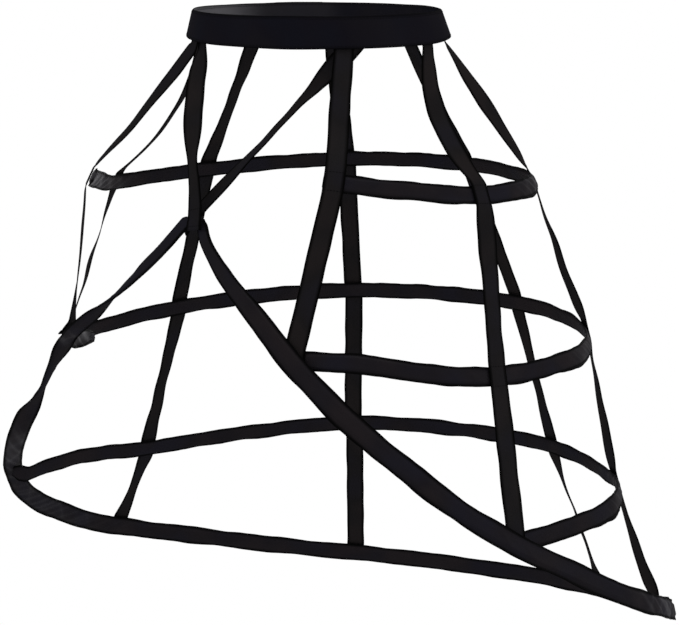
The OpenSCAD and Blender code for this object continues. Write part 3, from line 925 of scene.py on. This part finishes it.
def seatOn(hoop, az, lower):
    route = hoop["route"]
    place = findPlace(route, 0, az, 0, len(route) - 1)
    centre, _, face, edge, _ = frameAt(hoop, place)
    up = -edge if edge[2] < 0 else edge
    base = centre + face * tapeSeat
    half = hoop["width"] / 2
    return [(base + up * (half + seatEdge), face), (base - up * (half + lower), face)]


def over(hoop, az):
    return seatOn(hoop, az, seatEdge)


def endOn(hoop, az):
    return seatOn(hoop, az, -endShort)


def onClimb(place, side):
    centre, _, face, _, _ = frameAt(hemHoop, place)
    base = centre + face * side * climbSeat
    rise = unit(np.array([0, 0, 1]) - face * face[2])
    return [(base + rise * climbReach, face), (base - rise * climbEnd, face)]


apexStart, apexStop = frameAt(hemHoop, 0), frameAt(hemHoop, len(hemHoop["route"]) - 1)
apex = (apexStart[0] + apexStop[0]) / 2
apexAz = math.degrees(math.atan2(apex[1], apex[0]))
apexFace = normalAt(apexAz, hemHoop["lean"])
apexSide = np.array([-math.sin(math.radians(apexAz)), math.cos(math.radians(apexAz)), 0])
apexUp = np.cross(apexFace, apexSide)
apexReach = hemHoop["width"] / 2
apexSeat = tapeSeat + apexRoom


def apexPoint(out, side, up):
    return apex + apexFace * out + apexSide * side + apexUp * up, apexFace


# Seats from the waist down, then the bow of each free stretch in percent of its span, and how it turns:
# one number turns the middle and leaves the ends, a list gives the turn at shares of the way down
tapes = {
    "hip": {
        "seats": [waistPoints(leftShare + 4, leftShare + 7, 1),
                  [apexPoint(apexSeat, 2, apexReach), apexPoint(apexSeat, 5, -apexReach)]],
        "slacks": [(4, [(0, 0), (0.14, -38), (0.5, -34), (0.7, 16), (0.9, 14), (1, 10)])],
    },
    "cross": {
        "seats": [waistPoints(frontShare + 7, frontShare + 2, 1),
                  [apexPoint(-apexSeat, 0, apexReach), apexPoint(-apexSeat, -1.5 * apexReach, -apexReach)]],
        "slacks": [(0, [(0, 0), (0.12, 34), (0.2, 54), (0.29, 68), (0.4, 67), (0.6, 60), (0.68, 52),
                        (0.78, 36), (0.88, 28), (1, 24)])],
    },
    "left_end": {
        "seats": [waistPoints(leftShare, leftShare), over(upperHoop, 183),
                  onClimb(middleHoop["meets"][0] + leftEndStep, 1)],
        "slacks": [(-2, [(0, 0), (0.2, -6), (0.35, -7), (0.5, -5), (0.7, -2), (1, 0)]),
                   (-1.5, [(0, 0), (0.6, -10), (0.85, -6), (1, 0)])],
    },
    "left": {
        "seats": [waistPoints(157, 157), over(upperHoop, 155.5), endOn(middleHoop, 172)],
        "slacks": [(-10, [(0, 0), (0.25, -9), (0.5, -10), (0.8, -10), (0.94, -10), (1, -6)]),
                   (0, [(0, -6), (0.12, -11), (0.3, -17), (0.5, -21), (0.75, -15), (1, 0)])],
    },
    "back_left": {
        "seats": [waistPoints(120.5, 120.5), over(upperHoop, 122), over(middleHoop, 125),
                  over(lowerHoop, 127.5), endOn(hemHoop, 130)],
        "slacks": [(-1, -25), (0, -10), (0, -20), (0, -25)],
    },
    "back": {
        "seats": [waistPoints(83, 83), over(upperHoop, 82.5), over(middleHoop, 82), over(lowerHoop, 83),
                  endOn(hemHoop, 83.5)],
        "slacks": [(-2, 0), (0, 0), (0, 0), (0, 0)],
    },
    "back_right": {
        "seats": [waistPoints(44, 44), over(upperHoop, 45), over(middleHoop, 39), over(lowerHoop, 36),
                  endOn(hemHoop, 31)],
        "slacks": [(-2, 0), (0, 0), (0, 15),
                   (0, [(0, 0), (0.08, 14), (0.2, 27), (0.5, 28), (0.75, 26.5), (0.9, 23), (1, 0)])],
    },
    "right": {
        "seats": [waistPoints(4, 4), over(upperHoop, 10), over(middleHoop, 6), over(lowerHoop, 8),
                  endOn(hemHoop, 11)],
        "slacks": [(0, [(0, 0), (0.25, 31), (0.5, 45), (0.75, 34), (0.94, 24), (1, 8)]),
                   (-1, [(0, 8), (0.1, 8), (0.25, 2), (0.5, -10), (0.8, -18), (0.93, -20), (1, -6)]),
                   (0, [(0, -4), (0.12, 6), (0.3, -2), (0.6, -12), (0.85, -17), (0.95, -17), (1, -6)]),
                   (-1, [(0, -5), (0.25, -4), (0.6, -15), (0.85, -26), (0.95, -30), (1, -12)])],
    },
    "front_right": {
        "seats": [waistPoints(-32, -32), over(upperHoop, -45), over(middleHoop, -51.5),
                  onClimb(lowerHoop["meets"][1] + frontEndStep, -1)],
        "slacks": [(-11, 35), (0, [(0, 0), (0.1, 18), (0.3, 12), (0.55, -2), (0.85, -4), (1, 0)]), (0, 5)],
    },
    "front": {
        "seats": [waistPoints(frontShare, frontShare), over(upperHoop, -85),
                  onClimb(middleHoop["meets"][1] + frontEndStep, -1)],
        "slacks": [(-2, 0), (0, 0)],
    },
}


def turnKeys(turns):  # shares of the way down and the turns there
    if not isinstance(turns, list):
        turns = [(0, 0), (0.25, 0.7 * turns), (0.5, turns), (0.75, 0.7 * turns), (1, 0)]
    return np.array(turns).T


def tapeLine(seats, slacks):  # points, faces and freedom (0 sewn, 1 free) down a tape
    points, faces, free = [], [], []
    for number, (top, bottom) in enumerate(seats):
        if number:
            start, stop = seats[number - 1][1], top
            bow, turns = slacks[number - 1]
            keys = turnKeys(turns)
            axis = unit(stop[0] - start[0])
            span = np.linalg.norm(stop[0] - start[0])
            for share in np.linspace(0, 1, tapeLook["freePoints"])[1:-1]:
                swell = math.sin(math.pi * share)
                face = unit(start[1] * (1 - share) + stop[1] * share)
                points.append(start[0] * (1 - share) + stop[0] * share + face * span * bow / 100 * swell)
                faces.append(turned(face, axis, np.interp(share, *keys)))
                free.append(min(1, 4 * share, 4 * (1 - share)))
            turn = keys[1, -1]
        else:
            axis, turn = np.array([0, 0, -1]), 0
        for share in np.linspace(0, 1, tapeLook["seatPoints"]):
            points.append(top[0] * (1 - share) + bottom[0] * share)
            faces.append(turned(unit(top[1] * (1 - share) + bottom[1] * share), axis, turn))
            free.append(0)
    return np.array(points), np.array(faces), np.array(free)


def smooth(line, rounds):  # moves each point but the ends toward its neighbours
    for _ in range(rounds):
        line[1:-1] = 0.25 * line[:-2] + 0.5 * line[1:-1] + 0.25 * line[2:]


def resampled(points, faces, free, step):
    run = runAlong(points)
    s = np.linspace(0, run[-1], max(2, round(run[-1] / step)))
    columns = [np.interp(s, run, column) for column in np.concatenate([points, faces, free[:, None]], 1).T]
    line = np.stack(columns, 1)
    smooth(line, tapeLook["cornerRounds"])
    smooth(line[:, 3:], tapeLook["turnRounds"])
    return s, line[:, :3], unit(line[:, 3:6]), line[:, 6]


class Tape:  # one tape's surface, asked for points by place along and across it
    def __init__(self, spec, seed):
        s, centre, face, free = resampled(*tapeLine(spec["seats"], spec["slacks"]), tapeLook["step"])
        heading = unit(np.gradient(centre, axis=0))
        self.edge = unit(np.cross(face, heading))
        self.face = np.cross(heading, self.edge)
        self.s, self.centre, self.heading, self.free, self.seed = s, centre, heading, free, seed
        foldStart = s[-1] - tapeLook["endFold"]
        self.fold = ease(foldStart, foldStart + tapeLook["foldStep"], s)

    def bend(self, s, mark):  # how far a free stretch cups and waves
        cupHigh, cupWave = tapeFolds["cup"]
        waveHigh, waveLong = tapeFolds["wave"]
        tiltShare, tiltWave = tapeFolds["tilt"]
        tilt = tiltShare * mark * ripple(s, tiltWave, self.seed + 4)
        cup = cupHigh * ripple(s, cupWave, self.seed + 2) * (mark**2 - tapeFolds["cupRest"])
        return cup + waveHigh * (ripple(s, waveLong, self.seed + 3) + tilt)

    def points(self, index, mark, layer):  # ring, share across (-1 to 1), layer 1 outside or -1 inside
        look = tapeLook
        s, fold = self.s[index], self.fold[index]
        edgeHigh, edgeWave = tapeFolds["edge"]
        frayed = edgeHigh * edgeRipple(s, mark, edgeWave, self.seed)
        x = mark * (tapeCut["width"] / 2 - look["edgeIn"] + frayed + look["foldWide"] * fold)
        y = tapeCut["thick"] / 2 - look["thinner"]
        y = y * (1 + look["selvage"] * ease(*look["selvageFrom"], np.abs(mark)))
        y = y * edgeRound(mark, look["edgeFrom"], look["edgeThin"])
        y = y + (look["foldThick"] * fold if layer > 0 else 0)
        y = layer * y + self.free[index] * self.bend(s, mark)
        return self.centre[index] + self.edge[index] * x[..., None] + self.face[index] * y[..., None], x

    def nearest(self, point):
        return int(np.argmin(np.linalg.norm(self.centre - point, axis=1)))


def buildTape(label, spec, seed):
    tape = Tape(spec, seed)
    s, node = tape.s, label + "_tape"
    name = node.replace("_t", "T").replace("_", "")
    index = np.arange(len(s))
    layers = []
    for layer, marks in bothLayers(tapeMarks):
        grid, at = np.meshgrid(index, marks, indexing="ij")
        points, x = tape.points(grid, at, layer)
        shift = 0 if layer > 0 else tapeLook["innerShift"] * tapeCut["width"]
        layers.append((points, x + shift, ease(*tapeLook["rim"], np.abs(at))))
    points, x, rim = (np.concatenate(pair, 1) for pair in zip(*layers))
    uv = np.stack([np.broadcast_to(s[:, None], x.shape), x], -1).reshape(-1, 2)
    faces = capped(len(s), points.shape[1])
    piece = clothPiece(name, points.reshape(-1, 3), faces, uv, tapeCloth, 0, rim.reshape(-1))
    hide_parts(node)
    s[-1] * mm
    tapeStitches(name + "Stitches", tape, spec["seats"][1:])
    print(node, "length", round(s[-1] * mm, 3))


def tapeStitches(name, tape, seats):  # a sewn box at each seat, on both faces
    spots, headings, normals = [], [], []
    reach = 1 - tapeLook["stitchIn"] / (tapeCut["width"] / 2)
    across = np.linspace(-reach, reach, tapeLook["boxStitches"])
    for top, bottom in seats:
        first, last = tape.nearest(top[0]) + 1, min(tape.nearest(bottom[0]), len(tape.s) - 2) - 1
        rows = np.arange(first, last + 1)
        box = [(rows, np.full(len(rows), side * reach), tape.heading) for side in (-1, 1)]
        box += [(np.full(len(across), row), across, tape.edge) for row in (first, last)]
        for index, mark, direction in box:
            for layer in (1, -1):
                normal = layer * tape.face[index]
                spots.append(tape.points(index, mark, layer)[0] + normal * tapeLook["stitchProud"])
                headings.append(direction[index])
                normals.append(normal)
    stitchPiece(name, spots, headings, normals)


for number, (label, spec) in enumerate(tapes.items()):
    buildTape(label, spec, 1000 + 20 * number)


# Waistband: a folded outer layer over the facing, with the overlapping end at the back

bandLook = {
    "step": 2.0,  # ring spacing
    "topWave": (0.4, 90),  # height, length of the wave
    "wave": (0.5, 75),
    "pucker": (0.06, 8),
    "puckerAway": 0.2,  # share of the puckers away from the seams
    "still": 0.3,  # share of the height that the wave leaves in place
    "edgeRound": 1.2,
    "edgeThin": 0.05,
    "seamWide": 0.8,
    "seamDeep": 0.15,
    "stitchIn": 2.6,
    "stitchProud": 0.12,
    "rim": 0.1,  # share of the height over which painted shade darkens an edge
    "innerShift": 2.2,
    "kicks": [(2, 24, 3.5, 3), (182, 30, 0, 4)],  # of the lower edge: azimuth, reach in degrees, out, up
}
bandEdge = np.array([0, 0.03, 0.08, 0.14])  # close rings of points at each edge, as shares of the height
bandMarks = np.concatenate([bandEdge, np.linspace(0.22, 0.78, 8), 1 - bandEdge[::-1]])


class Band:  # one layer of the waistband, asked for points by azimuth and height
    def __init__(self, inner, thick, fromAz, angle, seed):
        self.inner, self.thick, self.fromAz, self.angle, self.seed = inner, thick, fromAz, angle, seed
        self.girth = math.radians(angle) * inner(0)
        self.closed = angle >= 360

    def run(self, az):  # length along the band
        return (az - self.fromAz) / self.angle * self.girth

    def points(self, az, mark, side):  # mark 0 at the lower edge, 1 at the upper; side 1 outside or -1 inside
        look, seed = bandLook, self.seed
        tall = waist["height"]
        s = self.run(az)
        if self.closed:  # the waves meet where the band closes
            s = np.abs((s / self.girth + 0.5) % 1 - 0.5) * self.girth
        edge = np.minimum(mark, 1 - mark) * tall
        seam = hump(edge, look["stitchIn"], look["seamWide"])
        swell = self.thick / 2 * np.sqrt(np.minimum(1, (edge + look["edgeThin"]) / look["edgeRound"]))
        puckerHigh, puckerWave = look["pucker"]
        waveHigh, waveLong = look["wave"]
        topHigh, topWave = look["topWave"]
        z = (mark - 0.5) * tall
        r = self.inner(z) + self.thick / 2 + side * (swell - look["seamDeep"] * seam)
        r = r + puckerHigh * (look["puckerAway"] + seam) * ripple(s, puckerWave, seed) * side
        r = r + waveHigh * ripple(s, waveLong, seed + 1) * (mark - look["still"])
        z = z + topHigh * ripple(s, topWave, seed + 2) * (mark * 2 - 1)
        for kickAz, reach, out, up in look["kicks"]:
            fromKick = (az - kickAz + 180) % 360 - 180
            kick = hump(fromKick, 0, reach) * (1 - mark)
            r = r + out * kick
            z = z + up * kick
        return polar(np.stack([az, r, z], -1))


def buildBand(name, node, band, sewn, shine=None):
    count = round(band.girth / bandLook["step"])
    az = band.fromAz + band.angle * np.arange(count) / (count if band.closed else count - 1)
    around, up = np.meshgrid(az, np.concatenate([bandMarks, bandMarks[::-1]]), indexing="ij")
    n = around.shape[1]
    side = np.where(np.arange(n) < n / 2, 1, -1)
    points = band.points(around, up, side)
    rise = np.where(side > 0, up, bandLook["innerShift"] - up) * waist["height"]
    uv = np.stack([band.run(around), rise], -1).reshape(-1, 2)
    if band.closed:
        last = (count - 1) * n
        join = [[k, (k + 1) % n, last + (k + 1) % n, last + k] for k in range(n)]
        faces = tubeFaces(count, n, flip=True) + join
    else:
        faces = capped(count, n)
    # gloss with painted sheen along the band, where it has some
    glossAndPaintedSheen = np.repeat(shine(az), n) if shine else 0
    # painted shade darkens the upper and lower edges
    rim = ease(bandLook["rim"], 0, np.minimum(up, 1 - up)).reshape(-1)
    piece = clothPiece(name, points.reshape(-1, 3), faces, uv, bandCloth, glossAndPaintedSheen, rim)
    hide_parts(node)
    band.girth * mm
    bandStitches(name + "Stitches", band, sewn)


def bandStitches(name, band, sewn):
    count = round(band.girth / stitchShape["pitch"])
    az = band.fromAz + band.angle * (np.arange(count) + 0.5) / count
    inset = bandLook["stitchIn"] / waist["height"]
    out = normalAt(az, 0)
    heading = np.cross([0, 0, 1], out)
    spots, headings, normals = [], [], []
    for side in sewn:
        for mark in (inset, 1 - inset):
            spots.append(band.points(az, np.full(count, mark), side) + side * out * bandLook["stitchProud"])
            headings.append(heading)
            normals.append(side * out)
    stitchPiece(name, spots, headings, normals)


facingSheenAndPaintedLight = {  # gloss with painted light at the right, what the back and the left add, and where, in degrees from the right; the lighter left is painted light
    "right": 0.03,
    "back": 0.09,
    "backFrom": (76, 88),
    "left": 0.88,
    "leftFrom": (114, 148),
}


def facingGlossAndPaintedLight(az):  # the facing is satin, with painted light brightest at the left, dull at the seam and right of it
    sheen = facingSheenAndPaintedLight
    fromRight = np.minimum(az % 360, 360 - az % 360)
    back = sheen["back"] * ease(*sheen["backFrom"], fromRight)
    return sheen["right"] + back + sheen["left"] * ease(*sheen["leftFrom"], fromRight)


def facingInside(z):  # the facing stands straight
    return waist["radius"] + 0 * z


def flapInside(z):
    return bandInside(z) + waist["bandThick"] + 3 * sewGap + 2 * waist["stripThick"]


outerBand = Band(bandInside, waist["bandThick"], 0, 360, 2000)
facing = Band(facingInside, waist["facingThick"], 0, 360, 2010)
flap = Band(flapInside, waist["bandThick"], waist["flapStart"], waist["flapAngle"], 2020)
buildBand("waistBand", "waistband", outerBand, [1])
buildBand("waistFacing", "waist_facing", facing, [-1], facingGlossAndPaintedLight)
buildBand("closureFlap", "closure_flap", flap, [1])
print("waistband made")


# Finish of the hidden solids

finishes = {"bone_tips": tipPlastic, "bone": boneWhite, "strip": fastenerPile}
for node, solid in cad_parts.items():
    for ending, material in finishes.items():
        if node.endswith(ending):
            solid.data.materials.clear()
            solid.data.materials.append(material)
            break


# Stage: a pale floor, soft lamps and a white surround, in metres

stage = {
    "floorDrop": 1.05,  # from the waist to the floor
    "floorSize": 120,
    "floorColour": (0.86, 0.86, 0.86, 1),
    "shadowReach": (0.5, 1.2),  # where the floor turns from lit to plain white
    "surround": 0.8,  # strength of the light from all sides
    "lampAim": (0, 0, -0.3),
}
lamps = [  # name, place, size, watts
    ("leftLamp", (-3.2, -1.4, 0.5), 1.8, 14),
    ("rightLamp", (3.2, -1.2, 0.3), 1.8, 20),
    ("topLamp", (0.2, -0.6, 3.2), 2.0, 40),
]


def seenRays(shade):  # 1 for what the camera sees, also by a mirror or through a clear piece
    rays = [
        shade.node("ShaderNodeLightPath", output=name)
        for name in ("Is Camera Ray", "Is Glossy Ray", "Is Transmission Ray")
    ]
    return shade.maths("MINIMUM", rays[0] + rays[1] + rays[2], 1.0)


def floorMaterial():
    material, shade = startMaterial("paleFloor")
    reach = shade.node("ShaderNodeVectorMath", {"operation": "LENGTH"}, output=1, i0=objectPlace(shade))
    low, high = stage["shadowReach"]
    away = shade.node("ShaderNodeMapRange", {"interpolation_type": "SMOOTHSTEP"}, i0=reach, i1=low, i2=high)
    lit = shade.node("ShaderNodeBsdfDiffuse", Color=stage["floorColour"])
    plain = shade.node("ShaderNodeEmission", Color=(1, 1, 1, 1), Strength=1.0)
    surface = shade.node("ShaderNodeMixShader", i0=away * seenRays(shade), i1=lit, i2=plain)
    endMaterial(shade, surface)
    return material


def makeFloor():
    mesh = bpy.data.meshes.new("studioFloor")
    h = stage["floorSize"] / 2
    mesh.from_pydata([(-h, -h, 0), (h, -h, 0), (h, h, 0), (-h, h, 0)], [], [(0, 1, 2, 3)])
    mesh.materials.append(floorMaterial())
    floor = bpy.data.objects.new("studioFloor", mesh)
    floor.location.z = -stage["floorDrop"]
    bpy.context.scene.collection.objects.link(floor)


def makeLamps():
    aim = Vector(stage["lampAim"])
    for name, place, size, watts in lamps:
        data = bpy.data.lights.new(name, "AREA")
        data.shape = "DISK"
        data.size = size
        data.energy = watts
        lamp = bpy.data.objects.new(name, data)
        lamp.location = place
        lamp.rotation_euler = (aim - Vector(place)).to_track_quat("-Z", "Y").to_euler()
        bpy.context.scene.collection.objects.link(lamp)


def makeSurround():
    world = bpy.data.worlds.new("softSurround")
    world.use_nodes = True
    world.node_tree.nodes.clear()
    shade = Wire(world.node_tree)
    dim = shade.node("ShaderNodeBackground", Color=(1, 1, 1, 1), Strength=stage["surround"])
    white = shade.node("ShaderNodeBackground", Color=(1, 1, 1, 1), Strength=1.0)
    surface = shade.node("ShaderNodeMixShader", i0=seenRays(shade), i1=dim, i2=white)
    shade.node("ShaderNodeOutputWorld", i0=surface)
    bpy.context.scene.world = world


makeFloor()
makeLamps()
makeSurround()
bpy.context.scene.view_settings.view_transform = "Standard"
print("stage set")
